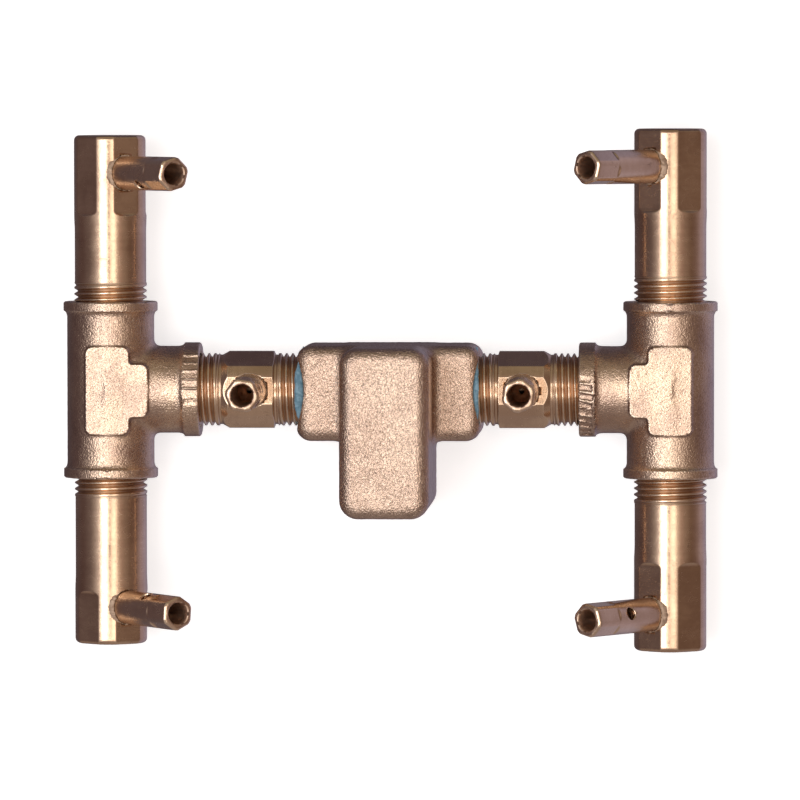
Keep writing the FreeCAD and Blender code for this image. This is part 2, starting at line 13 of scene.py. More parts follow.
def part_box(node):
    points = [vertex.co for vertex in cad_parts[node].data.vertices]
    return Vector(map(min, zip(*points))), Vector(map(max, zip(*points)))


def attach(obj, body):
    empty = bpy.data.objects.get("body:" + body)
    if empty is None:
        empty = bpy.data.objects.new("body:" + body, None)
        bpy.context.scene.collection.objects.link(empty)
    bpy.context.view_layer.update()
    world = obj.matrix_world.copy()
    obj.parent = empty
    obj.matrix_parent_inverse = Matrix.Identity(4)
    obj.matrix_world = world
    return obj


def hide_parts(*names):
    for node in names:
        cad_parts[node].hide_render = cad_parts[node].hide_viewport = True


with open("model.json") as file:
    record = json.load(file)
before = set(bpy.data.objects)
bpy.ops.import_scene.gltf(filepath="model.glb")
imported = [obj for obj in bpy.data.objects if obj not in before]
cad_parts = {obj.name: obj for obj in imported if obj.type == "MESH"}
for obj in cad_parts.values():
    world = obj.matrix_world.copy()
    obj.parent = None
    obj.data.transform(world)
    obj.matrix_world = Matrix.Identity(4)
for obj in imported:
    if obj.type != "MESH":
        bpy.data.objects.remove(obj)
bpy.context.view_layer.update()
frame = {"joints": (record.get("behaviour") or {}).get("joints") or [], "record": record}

MM = 0.001
TURN = 2 * math.pi
# Columns around each kind of turned mesh.
SEGMENTS = 288
JET_SEGMENTS = 144
BEAD_SEGMENTS = 180
PORT_SEGMENTS = 96
HOLE_SEGMENTS = 48
# Row spacing on a thread: where it hides inside a fitting, and where it shows.
COARSE_ROWS = 0.26
FINE_ROWS = 0.11
# Farther than any wall of the burner.
FAR = 99.0
X = np.array((1.0, 0.0, 0.0))
Y = np.array((0.0, 1.0, 0.0))
Z = np.array((0.0, 0.0, 1.0))

# Sizes of the real fittings in millimetres; places come from the frame.
TAPER = 1 / 32
PIPE = {"pitch": 1.8143, "small": 10.3, "depth": 1.19, "turns": 10, "cap": 10.625, "starts": 1}
TAP = {"pitch": 0.9407, "small": 4.75, "depth": 0.55, "turns": 5, "cap": 4.95, "starts": 0}
THREAD_FLAT = 0.12
HIDDEN_TURNS = 5.5
GAUGE_TURNS = 7
COUNTERSINK = 0.9
PORT_CLEARANCE = 0.08
BARREL = {"wall": 10.45, "head": 10.6, "flat": 9.85, "flats": 5, "bore": 5.5, "floor": 5.0,
          "rim": 1.5, "seat_turns": 4}
NIPPLE = {"wall": 11.3, "flat": 10.6, "flats": 6, "neck": 10.2, "hub_neck": 1.1, "middle": 13.37,
          "slope": 2.0, "bore": 5.5, "seat_turns": 3}
JET = {"wall": 4.95, "flat": 4.6, "flats": 6, "flat_length": 10.5, "bore": 3.15, "orifice": 0.8,
       "base": 4.0, "length": 33.5, "edge": 1.2, "edge_length": 0.85, "sink": 0.3, "air_hole": 1.9,
       "air_setback": 15.0}
TEE = {"body": 12.75, "chamber": 9.3, "port": 10.8, "port_depth": 12.7, "run_band": 2.7,
       "branch_band": 4.8, "fillet": 2.0, "pad": 12.9, "pad_run": (6.35, 12.8), "pad_tongue": (11.85, 7.7)}
HUB = {"arm_front": 14.7, "arm_rear": 13.25, "stem_half": 13.0, "stem_rear": 13.4, "arm_top": 13.0,
       "arm_corner": 4.5, "stem_corner": 5.4, "edge": 3.9, "fillet": 3.2,
       "dish": 15.0, "throat": 11.1, "dish_depth": 3.0, "port": 10.8, "bore": 9.3,
       "inlet": 9.15, "inlet_depth": 14.0, "plenum": 7.5, "plenum_top": 44.0, "link": 4.5}
SPOT = {"radius": 5.25, "depth": 0.2}
# Faceted head of each barrel: its length and the radius of the cutter's runout.
HEADS = {"rear_left_barrel": (24.0, 2.0), "front_left_barrel": (16.5, 2.6),
         "rear_right_barrel": (25.0, 2.2), "front_right_barrel": (26.8, 2.4)}
# Radii of the rows across a barrel's closed end.
END_RADII = (8.6, 7.0, 4.5, 2.0, 0)


# ---------------------------------------------------------------- frame helpers

def box_mm(node):
    """Lowest and highest corner of a CAD node, in millimetres."""
    low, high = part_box(node)
    return np.array(low) / MM, np.array(high) / MM


def joint_of(child):
    """The joint that moves a body."""
    return next(joint for joint in frame["joints"] if joint["child"] == child)


AXIS_HEIGHT = joint_of("rear_left_barrel")["pos_m"][2] / MM
gas_inlet = next(mount for mount in frame["record"]["mounts"] if mount["name"] == "gas_inlet")


def attitude(origin, along, across):
    """Matrix that puts a piece's Z along one direction and its X along another."""
    along = np.array(along, float)
    across = np.array(across, float)
    side = np.cross(along, across)
    matrix = np.eye(4)
    matrix[:3, 0] = across
    matrix[:3, 1] = side
    matrix[:3, 2] = along
    matrix[:3, 3] = origin
    return matrix


# ---------------------------------------------------------------- mesh building

def mesh_from(name, points, faces):
    """Blender mesh from an array of points and an array or list of faces."""
    mesh = bpy.data.meshes.new(name)
    mesh.from_pydata(points.tolist(), [], [list(face) for face in faces])
    mesh.validate()
    mesh.update()
    return mesh


def vertices_of(mesh):
    """Positions of a mesh's vertices, one row each."""
    points = np.zeros(len(mesh.vertices) * 3)
    mesh.vertices.foreach_get("co", points)
    return points.reshape(-1, 3)


def normals_of(mesh):
    """Normals at a mesh's vertices, one row each."""
    normals = np.zeros(len(mesh.vertices) * 3, np.float32)
    mesh.vertex_normals.foreach_get("vector", normals)
    return normals.reshape(-1, 3)


def new_object(name, mesh):
    """Object of a mesh, in the scene."""
    piece = bpy.data.objects.new(name, mesh)
    bpy.context.scene.collection.objects.link(piece)
    return piece


def lathe(name, rows, segments, wall):
    """Closed turned mesh around Z.

    Each row is (height, radius); a radius of None is the outer wall, given by wall(height, angles),
    and a radius of zero is a pole. Rows that neither start nor end at a pole close on themselves.
    """
    angles = np.arange(segments) / segments * TURN
    points = []
    starts = []
    for height, radius in rows:
        starts.append(len(points))
        if radius == 0:
            points.append((0.0, 0.0, height))
            continue
        radii = wall(height, angles) if radius is None else np.full(segments, radius)
        points += list(zip(radii * np.cos(angles), radii * np.sin(angles), np.full(segments, height)))
    ring = np.arange(segments)
    after = (ring + 1) % segments
    faces = []
    closed = rows[0][1] != 0
    for index in range(len(rows) if closed else len(rows) - 1):
        follow = (index + 1) % len(rows)
        low, high = starts[index], starts[follow]
        if rows[index][1] == 0:
            faces += [(low, high + b, high + a) for a, b in zip(ring, after)]
        elif rows[follow][1] == 0:
            faces += [(low + a, low + b, high) for a, b in zip(ring, after)]
        else:
            faces += [(low + a, low + b, high + b, high + a) for a, b in zip(ring, after)]
    return mesh_from(name, np.array(points, float), faces)


def steps(low, high, pitch):
    """Evenly spaced heights from low up to, but not including, high."""
    count = max(1, round((high - low) / pitch))
    return list(low + (high - low) * np.arange(count) / count)


def cut(piece, cutter_mesh):
    """Take a cutter's solid away from a piece."""
    cutter = new_object("cutter", cutter_mesh)
    modifier = piece.modifiers.new("cut", "BOOLEAN")
    modifier.operation = "DIFFERENCE"
    modifier.solver = "EXACT"
    modifier.object = cutter
    depsgraph = bpy.context.evaluated_depsgraph_get()
    mesh = bpy.data.meshes.new_from_object(piece.evaluated_get(depsgraph))
    piece.modifiers.clear()
    piece.data = mesh
    bpy.data.objects.remove(cutter)


def moved(mesh, matrix):
    """The mesh after a 4 by 4 transform."""
    mesh.transform(Matrix(matrix.tolist()))
    return mesh


def flat_radius(angles, distance, count):
    """Distance from the axis to the nearest of count equal flats, at each angle."""
    sector = TURN / count
    offset = (angles + sector / 2) % sector - sector / 2
    return distance / np.cos(offset)


def thread_radius(height, angles, form, stock):
    """Radius of a right-handed tapered thread at a height above its small end.

    A form without a start has plain rings, so a hidden thread stays clear of its port when it turns.
    """
    phase = (height / form["pitch"] - form["starts"] * angles / TURN) % 1.0
    ramp = np.abs(2 * phase - 1)
    share = np.clip((ramp - THREAD_FLAT) / (1 - 2 * THREAD_FLAT), 0, 1)
    crest = form["small"] + height * TAPER
    return np.minimum(crest - form["depth"] * share, stock)


def curvature(mesh):
    """Mean curvature in 1/mm at each vertex: positive on edges and crests, negative in corners."""
    count = len(mesh.vertices)
    points = vertices_of(mesh)
    normals = normals_of(mesh)
    pairs = np.zeros(len(mesh.edges) * 2, np.int64)
    mesh.edges.foreach_get("vertices", pairs)
    first, second = pairs.reshape(-1, 2).T
    total = np.zeros(count)
    links = np.zeros(count)
    for here, there in ((first, second), (second, first)):
        step = points[there] - points[here]
        bend = -2 * (step * normals[here]).sum(1) / np.maximum((step ** 2).sum(1), 1e-9)
        np.add.at(total, here, bend)
        np.add.at(links, here, 1)
    links = np.maximum(links, 1)
    bent = np.clip(total / links, -6, 6)
    for _ in range(2):
        mean = np.zeros(count)
        np.add.at(mean, first, bent[second])
        np.add.at(mean, second, bent[first])
        bent = (bent + mean / links) / 2
    return bent


def add_values(mesh, name, values):
    """Store one number a vertex."""
    attribute = mesh.attributes.new(name, "FLOAT", "POINT")
    attribute.data.foreach_set("value", np.asarray(values, np.float32))


def finish_piece(piece, matrix, body, slot, material, *nodes):
    """Store what the materials read, move the piece into the frame and hand it over."""
    mesh = piece.data
    x, y, z = vertices_of(mesh).T
    add_values(mesh, "lathe", z + np.hypot(x, y))
    add_values(mesh, "bend", np.tanh(curvature(mesh)))
    scale = np.diag((MM, MM, MM, 1.0))
    mesh.transform(Matrix((scale @ matrix).tolist()))
    mesh.polygons.foreach_set("use_smooth", np.ones(len(mesh.polygons), bool))
    mesh.materials.clear()
    mesh.materials.append(material)
    mesh.update()
    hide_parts(*nodes)
    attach(piece, body)
    return piece


# ---------------------------------------------------------------- cast pieces: distance fields

def surface_net(name, distance, low, high, pitch):
    """Mesh of the surface where distance(points) is zero, with its vertices pulled onto it."""
    axes = [np.arange(a, b + pitch, pitch) for a, b in zip(low, high)]
    grid = np.stack(np.meshgrid(*axes, indexing="ij"), -1)
    field = distance(grid)
    inside = field < 0
    shape = np.array(field.shape) - 1
    corner_steps = [(i, j, k) for i in (0, 1) for j in (0, 1) for k in (0, 1)]

    def block(values, shift):
        return values[tuple(slice(s, s + n) for s, n in zip(shift, shape))]

    total = sum(block(inside, shift).astype(np.int8) for shift in corner_steps)
    mixed = (total > 0) & (total < len(corner_steps))
    index = np.full(tuple(shape), -1, np.int64)
    index[mixed] = np.arange(mixed.sum())
    cells = np.argwhere(mixed)
    points = np.array(low) + (cells + 0.5) * pitch

    faces = []
    for axis in range(3):
        u, v = [other for other in range(3) if other != axis]
        near = [slice(1, n) for n in shape]
        near[axis] = slice(0, shape[axis])
        far = list(near)
        far[axis] = slice(1, shape[axis] + 1)
        before, beyond = inside[tuple(near)], inside[tuple(far)]
        crossing = np.argwhere(before != beyond)
        falling = before[before != beyond]
        base = crossing.copy()
        base[:, u] += 1
        base[:, v] += 1
        corners = []
        for du, dv in ((1, 1), (0, 1), (0, 0), (1, 0)):
            cell = base.copy()
            cell[:, u] -= du
            cell[:, v] -= dv
            corners.append(index[tuple(cell.T)])
        quads = np.stack(corners, 1)
        flip = falling == (axis == 1)
        quads[flip] = quads[flip][:, ::-1]
        faces.append(quads)

    for _ in range(4):
        value = distance(points)
        slope = np.stack([(distance(points + step) - distance(points - step)) / (2 * 0.02)
                          for step in np.eye(3) * 0.02], -1)
        size = np.maximum((slope ** 2).sum(-1), 0.25)
        points = points - np.clip(value / size, -pitch, pitch)[:, None] * slope
    return mesh_from(name, points, np.concatenate(faces))


def smooth_union(first, second, width):
    """Union of two fields with a fillet about as wide as width."""
    share = np.clip(width - np.abs(first - second), 0, None) / width
    return np.minimum(first, second) - share ** 2 * width / 4


def smooth_cut(first, second, width):
    """First field without the second, with its edge rounded by width."""
    return -smooth_union(-first, second, width)


def cylinder(points, axis, radius, start, end):
    """Field of a solid cylinder around the row axis number axis, through the origin."""
    across = [other for other in range(3) if other != axis]
    radial = np.hypot(points[..., across[0]], points[..., across[1]]) - radius
    axial = np.maximum(start - points[..., axis], points[..., axis] - end)
    return np.maximum(radial, axial)


def tube_profile(points, axis, heights, radii, start, end):
    """Field of a turned solid whose radius is read from a table along its axis."""
    across = [other for other in range(3) if other != axis]
    radius = np.interp(points[..., axis], heights, radii)
    radial = np.hypot(points[..., across[0]], points[..., across[1]]) - radius
    axial = np.maximum(start - points[..., axis], points[..., axis] - end)
    return np.maximum(radial, axial)


def rounded_block(points, low, high, corner, edge):
    """Field of a block with rounded upright corners and rounded top and bottom edges."""
    centre = (np.array(low) + np.array(high)) / 2
    half = (np.array(high) - np.array(low)) / 2
    inset = np.abs(points - centre) - half
    sx = inset[..., 0] + corner
    sy = inset[..., 1] + corner
    plan = np.minimum(np.maximum(sx, sy), 0) + np.hypot(np.maximum(sx, 0), np.maximum(sy, 0)) - corner
    a = plan + edge
    b = inset[..., 2] + edge
    return np.minimum(np.maximum(a, b), 0) + np.hypot(np.maximum(a, 0), np.maximum(b, 0)) - edge


def rough_cast(piece, seed, size, height):
    """Push the vertices of a casting in and out by a few hundredths of a millimetre."""
    mesh = piece.data
    points = vertices_of(mesh)
    shift = Vector((seed, seed * 2, seed * 3))
    push = np.array([noise.fractal(Vector(point) / size + shift, 1.0, 2.0, 3)
                     for point in points.tolist()])
    points += normals_of(mesh) * (push * height)[:, None]
    mesh.vertices.foreach_set("co", points.ravel())
    mesh.update()


def band_profile(face, band_width, band, wall):
    """Heights and radii of a banded mouth, from the wall out to the face."""
    fillet = TEE["fillet"]
    shoulder = face - band_width
    turns = np.linspace(0, math.pi / 2, 7)
    heights = [0.0] + list(shoulder - fillet + fillet * np.sin(turns))
    radii = [wall] + list(wall + (band - wall) * (1 - np.cos(turns)))
    lip = 0.35
    heights += [shoulder + 0.2, face - lip, face]
    radii += [band, band, band - lip]
    return np.array(heights), np.array(radii)


def tooth_cuts(points, bites, radius, reach_low, reach_high):
    """Field of the flat bites that wrench jaws leave around a band whose axis is X."""
    result = np.full(points.shape[:-1], FAR)
    for angle, half_width, depth, skew, shorten in bites:
        turn = math.radians(angle)
        outward = points[..., 1] * math.sin(turn) + points[..., 2] * math.cos(turn)
        sideways = points[..., 1] * math.cos(turn) - points[..., 2] * math.sin(turn)
        sideways = sideways + skew * (points[..., 0] - reach_high)
        slab = np.maximum((radius - depth) - outward, np.abs(sideways) - half_width)
        ends = np.maximum(reach_low + shorten - points[..., 0], points[..., 0] - reach_high)
        result = np.minimum(result, np.maximum(slab, ends))
    return result


LEFT_BITES = [(42, 1.25, 0.42, 0.02, 0.0), (31, 1.2, 0.36, 0.0, 0.4), (20, 1.2, 0.40, -0.02, 0.1),
              (9, 1.15, 0.34, 0.0, 0.5), (-2, 1.1, 0.38, 0.03, 0.2), (-12, 0.9, 0.25, 0.0, 0.8)]
RIGHT_BITES = [(-16, 0.8, 0.30, 0.20, 1.6), (-6, 0.9, 0.40, 0.12, 1.2), (4, 0.9, 0.45, 0.18, 0.9),
               (14, 0.8, 0.42, 0.25, 1.3), (24, 0.95, 0.48, 0.15, 1.0), (34, 0.85, 0.44, 0.22, 1.5),
               (44, 0.9, 0.46, 0.16, 1.2), (55, 0.8, 0.40, 0.24, 1.6), (66, 0.85, 0.42, 0.18, 1.4)]


def tee_port(across, along, face):
    """Field of a tapered port with a countersunk mouth, cut inwards from a face."""
    port = TEE["port"]
    deep = TEE["port_depth"]
    mouth = np.interp(along, [face - deep, face - COUNTERSINK, face + 1],
                      [port - deep * TAPER, port, port + 1.9])
    return np.maximum(across - mouth, face - deep - along)


def tee_field(reach, half_run, band, bites):
    """Field of a cast tee with its run along Y and its branch towards +X."""
    wall = TEE["body"]
    run_heights, run_radii = band_profile(half_run, TEE["run_band"], band, wall)
    branch_heights, branch_radii = band_profile(reach, TEE["branch_band"], band, wall)

    def distance(points):
        mirrored = points * np.array((1, 0, 1)) + np.abs(points) * np.array((0, 1, 0))
        run = tube_profile(mirrored, 1, run_heights, run_radii, -1.0, half_run)
        branch = tube_profile(points, 0, branch_heights, branch_radii, 0.0, reach)
        solid = smooth_union(run, branch, 2.2)
        half, long_side = TEE["pad_run"]
        tip, tongue = TEE["pad_tongue"]
        x, y, z = points[..., 0], points[..., 1], points[..., 2]
        bar = np.hypot(np.maximum(np.abs(x) - half + 2, 0), np.maximum(np.abs(y) - long_side + 2, 0)) - 2
        centre = tip / 2
        tab = np.hypot(np.maximum(np.abs(x - centre) - centre + 2, 0),
                       np.maximum(np.abs(y) - tongue + 2, 0)) - 2
        plan = smooth_union(bar, tab, 1.5)
        pad = np.maximum(np.maximum(plan, z - TEE["pad"]), -z)
        solid = smooth_union(solid, pad, 0.8)
        teeth = tooth_cuts(points, bites, band, reach - TEE["branch_band"] - 0.4, reach + 1)
        solid = smooth_cut(solid, teeth, 0.12)
        hollow = cylinder(points, 1, TEE["chamber"], -half_run, half_run)
        hollow = np.minimum(hollow, cylinder(points, 0, TEE["chamber"], 0, reach))
        run_port = tee_port(np.hypot(x, z), mirrored[..., 1], half_run)
        branch_port = tee_port(np.hypot(y, z), x, reach)
        hollow = np.minimum(hollow, np.minimum(run_port, branch_port))
        return np.maximum(solid, -hollow)

    return distance


def hub_field(low, high):
    """Field of the cast hub, in the frame's own axes: low and high are the corners of its box."""
    reach = high[0]
    arm_low = (-reach, -HUB["arm_front"], -20.0)
    arm_high = (reach, HUB["arm_rear"], AXIS_HEIGHT + HUB["arm_top"])
    stem_low = (-HUB["stem_half"], low[1], -20.0)
    stem_high = (HUB["stem_half"], HUB["stem_rear"], high[2])
    small_end = box_mm("right_nipple")[0][0]
    inlet = np.array(gas_inlet["pos_m"]) / MM

    def distance(points):
        stem = rounded_block(points, stem_low, stem_high, HUB["stem_corner"], HUB["edge"])
        arms = rounded_block(points, arm_low, arm_high, HUB["arm_corner"], HUB["edge"])
        solid = np.maximum(smooth_union(stem, arms, HUB["fillet"]), -points[..., 2])
        solid = np.maximum(solid, points[..., 1] - HUB["stem_rear"])
        centred = points - np.array((0, 0, AXIS_HEIGHT))
        across = np.hypot(centred[..., 1], centred[..., 2])
        along = np.abs(centred[..., 0])
        throat = reach - HUB["dish_depth"]
        slope = (HUB["dish"] - HUB["throat"]) / HUB["dish_depth"]
        dish = np.maximum(across - HUB["throat"] - (along - throat) * slope, throat - along)
        solid = smooth_cut(solid, dish, 1.0)
        port = np.maximum(across - HUB["port"] + (reach - along) * TAPER, small_end - along)
        bore = np.maximum(across - HUB["bore"], along - small_end - 1)
        below = points - np.array((inlet[0], inlet[1], 0))
        around = np.hypot(below[..., 0], below[..., 1])
        angle = np.arctan2(below[..., 1], below[..., 0])
        phase = (below[..., 2] / PIPE["pitch"] - angle / TURN) % 1.0
        groove = HUB["inlet"] + PIPE["depth"] * (1 - np.abs(2 * phase - 1)) * 0.8
        thread = np.maximum(around - groove, below[..., 2] - HUB["inlet_depth"])
        plenum = np.maximum(around - HUB["plenum"], below[..., 2] - HUB["plenum_top"])
        link = np.maximum(np.hypot(centred[..., 0], centred[..., 2]) - HUB["link"],
                          np.maximum(centred[..., 1], inlet[1] - centred[..., 1]))
        hollow = np.minimum(np.minimum(port, bore), np.minimum(thread, np.minimum(plenum, link)))
        return np.maximum(solid, -hollow)

    return distance


# ---------------------------------------------------------------- turned pieces

def runout(height, start, radius):
    """How far a milled flat has risen at a height before the place where it is full."""
    short = np.clip(start + radius - height, 0, radius * 0.98)
    return radius - math.sqrt(radius ** 2 - short ** 2)


def soft_min(first, second, width):
    """Smaller of two radii, with the crease between them rounded."""
    share = np.clip(width - np.abs(first - second), 0, None) / width
    return np.minimum(first, second) - share ** 2 * width / 4


def thread_wall(height, angles, form):
    """Wall of a threaded end: chamfered at the small end, and running out at its last turn."""
    length = form["pitch"] * form["turns"]
    left = np.clip((length - height) / (0.7 * form["pitch"]), 0, 1)
    full = thread_radius(height, angles, form, form["cap"])
    crest = min(form["small"] + height * TAPER, form["cap"])
    radius = crest - (crest - full) * left
    return np.minimum(radius, form["small"] - form["depth"] + height)


def blend_step(height, start, end, low, high):
    """Smooth step from low to high between two heights."""
    share = min(max((height - start) / (end - start), 0.0), 1.0)
    return low + (high - low) * share * share * (3 - 2 * share)


def barrel_wall(length, head, runout_radius):
    """Outer wall of a barrel of this length, with its flats from the height head up."""
    thread = PIPE["pitch"] * PIPE["turns"]

    def wall(height, angles):
        if height < thread:
            return thread_wall(height, angles, PIPE)
        radius = blend_step(height, head - 4.0, head + 0.5, BARREL["wall"], BARREL["head"])
        if height > head - runout_radius:
            distance = BARREL["flat"] + runout(height, head, runout_radius)
            flats = flat_radius(angles, distance, BARREL["flats"])
            radius = soft_min(np.full(len(angles), radius), flats, 0.05)
        past = min(max((height - length + BARREL["rim"]) / BARREL["rim"], 0), 1)
        return radius - BARREL["rim"] * (1 - math.sqrt(1 - past ** 2)) + np.zeros(len(angles))

    return wall


def jet_port_cutter(flat, turns):
    """Solid that cuts a jet's threaded port and its spot face; Z leaves the pipe axis."""
    start = flat - turns * TAP["pitch"]
    top = flat + 3.0

    def wall(height, angles):
        return thread_radius(height - start, angles, TAP, FAR) + PORT_CLEARANCE

    floor = flat - SPOT["depth"]
    rows = [(start - 2.5, 0), (start - 2.5, TAP["small"])]
    rows += [(height, None) for height in steps(start, floor - 0.35, FINE_ROWS)]
    spot = SPOT["radius"]
    rows += [(floor, spot - 0.2), (floor + 0.01, spot - 0.15), (floor + 0.15, spot), (top, spot), (top, 0)]
    return lathe("jet_port_cutter", rows, PORT_SEGMENTS, wall)


def make_barrel(name, material):
    """Closed barrel with threaded end, faceted head and the port of its jet."""
    jet = joint_of(name.replace("_barrel", "_jet"))
    low, high = box_mm(name)
    sense = 1.0 if high[1] > 0 else -1.0
    length = high[1] - low[1]
    axis_x = joint_of(name)["pos_m"][0] / MM
    small_end = low[1] if sense > 0 else high[1]
    head_length, runout_radius = HEADS[name]
    head = length - head_length
    wall = barrel_wall(length, head, runout_radius)
    thread = PIPE["pitch"] * PIPE["turns"]
    hidden = PIPE["pitch"] * HIDDEN_TURNS
    rim = length - BARREL["rim"]
    inner = BARREL["bore"]
    rows = [(length - BARREL["floor"] + 2.0, 0), (length - BARREL["floor"], inner), (20.0, inner),
            (0.6, inner), (0.0, inner + 0.6), (0.0, PIPE["small"] - PIPE["depth"] - 0.8)]
    heights = steps(0.0, hidden, COARSE_ROWS) + steps(hidden, thread + 0.3, FINE_ROWS)
    heights += steps(thread + 0.3, head - 0.7, 1.2)
    heights += steps(head - 0.7, head + runout_radius + 0.5, 0.18)
    heights += steps(head + runout_radius + 0.5, rim, 1.2)
    heights += list(rim + BARREL["rim"] * np.sin(np.linspace(0, math.pi / 2, 9)))
    rows += [(height, None) for height in heights]
    rows += [(length, radius) for radius in END_RADII]
    piece = new_object(name.replace("_barrel", "_closed_barrel"),
                       lathe(name + "_mesh", rows, SEGMENTS, wall))
    reach = abs(jet["pos_m"][1] / MM - small_end)
    port = moved(jet_port_cutter(BARREL["flat"], BARREL["seat_turns"]), attitude((0, 0, reach), X, Z))
    cut(piece, port)
    place = attitude((axis_x, small_end, AXIS_HEIGHT), Y * sense, jet["axis"])
    return finish_piece(piece, place, name, "turned_brass", material, name)


def nipple_wall(top):
    """Outer wall of a nipple of this length."""
    thread = PIPE["pitch"] * PIPE["turns"]
    middle = thread + NIPPLE["hub_neck"]
    slope = middle + NIPPLE["middle"]
    neck = slope + NIPPLE["slope"]
    heights = [thread, thread + 0.2, middle - 0.1, middle + 0.25, slope, neck, top - thread - 0.2,
               top - thread]
    radii = [10.4, NIPPLE["neck"], NIPPLE["neck"], NIPPLE["wall"], NIPPLE["wall"], NIPPLE["neck"],
             NIPPLE["neck"], 10.4]

    def wall(height, angles):
        if height < thread:
            return thread_wall(height, angles, PIPE)
        if height > top - thread:
            return thread_wall(top - height, -angles, PIPE)
        radius = np.full(len(angles), np.interp(height, heights, radii))
        return soft_min(radius, flat_radius(angles, NIPPLE["flat"], NIPPLE["flats"]), 0.05)

    return wall


def make_nipple(name, material):
    """Nipple with a thread at each end, six flats and the port of the upright jet."""
    side = name.split("_")[0]
    low, high = box_mm(name)
    sense = 1.0 if high[0] > 0 else -1.0
    top = high[0] - low[0]
    small_end = low[0] if sense > 0 else high[0]
    thread = PIPE["pitch"] * PIPE["turns"]
    hidden = PIPE["pitch"] * HIDDEN_TURNS
    inner = NIPPLE["bore"]
    lead = PIPE["small"] - PIPE["depth"] - 0.8
    rows = [(top, inner + 0.6), (top - 0.6, inner), (top / 2, inner), (0.6, inner),
            (0.0, inner + 0.6), (0.0, lead)]
    heights = steps(0.0, hidden, COARSE_ROWS) + steps(hidden, thread + 1.6, FINE_ROWS)
    heights += steps(thread + 1.6, top - thread - 3.2, 1.0)
    heights += steps(top - thread - 3.2, top - hidden, FINE_ROWS)
    heights += steps(top - hidden, top, COARSE_ROWS) + [top]
    rows += [(height, None) for height in heights]
    rows += [(top, lead)]
    piece = new_object(side + "_jet_nipple", lathe(name + "_mesh", rows, SEGMENTS, nipple_wall(top)))
    jet = joint_of(side + "_centre_jet")
    reach = abs(jet["pos_m"][0] / MM - small_end)
    port = jet_port_cutter(NIPPLE["flat"], NIPPLE["seat_turns"])
    cut(piece, moved(port, attitude((0, 0, reach), X, Z)))
    place = attitude((small_end, 0, AXIS_HEIGHT), X * sense, Z)
    return finish_piece(piece, place, "frame", "turned_brass", material, name)


def add_bore_shade(mesh):
    """Mark how much of a jet's wall lies inside the bore, where the materials paint shade."""
    x, y, _ = vertices_of(mesh).T
    middle = (JET["bore"] + JET["wall"]) / 2
    add_values(mesh, "bore_shade", np.clip((middle - np.hypot(x, y)) / 0.5, 0, 1))


def jet_wall(length):
    """Outer wall of a jet of this length."""
    thread = TAP["pitch"] * TAP["turns"]
    flats = length - JET["flat_length"]

    def wall(height, angles):
        if height < thread:
            return thread_wall(height, angles, TAP)
        radius = np.full(len(angles), JET["wall"])
        if height > flats - 2:
            distance = JET["flat"] + runout(height, flats, 1.2)
            radius = soft_min(radius, flat_radius(angles, distance, JET["flats"]), 0.03)
        past = min(max((height - length) / JET["edge_length"] + 1, 0), 1)
        return radius - JET["edge"] * (1 - math.sqrt(1 - past ** 2))

    return wall


def make_jet(name, seat, material, clock):
    """Jet with threaded foot, wrench flats, mixing bore, orifice and mixing-air hole."""
    joint = joint_of(name)
    axis = np.array(joint["axis"])
    foot = np.array(joint["pos_m"]) / MM
    length = JET["length"]
    thread = TAP["pitch"] * TAP["turns"]
    flats = length - JET["flat_length"]
    shoulder = length - JET["edge_length"]
    rows = [(length, JET["bore"] + JET["sink"]), (length - JET["sink"], JET["bore"])]
    rows += [(height, JET["bore"]) for height in reversed(steps(JET["base"] + 0.5, length - 1.5, 2.0))]
    rows += [(JET["base"], JET["bore"] - 0.6), (JET["base"] - 0.7, JET["orifice"]), (0.3, JET["orifice"]),
             (0.0, JET["orifice"] + 0.3), (0.0, TAP["small"] - TAP["depth"] - 0.4)]
    heights = steps(0.0, thread + 0.4, 0.1) + steps(thread + 0.4, flats - 0.4, 1.0)
    heights += steps(flats - 0.4, flats + 1.4, 0.15) + steps(flats + 1.4, shoulder, 1.0)
    heights += list(shoulder + JET["edge_length"] * np.sin(np.linspace(0, math.pi / 2, 12)))
    rows += [(height, None) for height in heights]
    piece = new_object(name + "_tube", lathe(name + "_mesh", rows, JET_SEGMENTS, jet_wall(length)))
    hole_rows = [(0.0, 0), (0.0, JET["air_hole"]), (4.2, JET["air_hole"]), (4.7, JET["air_hole"]),
                 (5.4, JET["air_hole"] + 0.6), (7.0, JET["air_hole"] + 0.6), (7.0, 0)]
    hole = lathe("air_hole_cutter", hole_rows, HOLE_SEGMENTS, None)
    cut(piece, moved(hole, attitude((0, 0, length - JET["air_setback"]), X, Z)))
    add_bore_shade(piece.data)
    tilt = Vector(Z).rotation_difference(Vector(axis)).to_matrix()
    place = np.eye(4)
    place[:3, :3] = np.array(tilt @ Matrix.Rotation(math.radians(clock), 3, "Z"))
    place[:3, 3] = foot + axis * seat
    return finish_piece(piece, place, name, "jet_brass", material, name)


# ---------------------------------------------------------------- castings

def make_casting(name, node, field, low, high, pitch, grain, material, slot, matrix):
    """Mesh a casting's field, roughen its skin and hand it over. Grain is (seed, size, height)."""
    piece = new_object(name, surface_net(name + "_mesh", field, low, high, pitch))
    rough_cast(piece, *grain)
    return finish_piece(piece, matrix, "frame", slot, material, node)


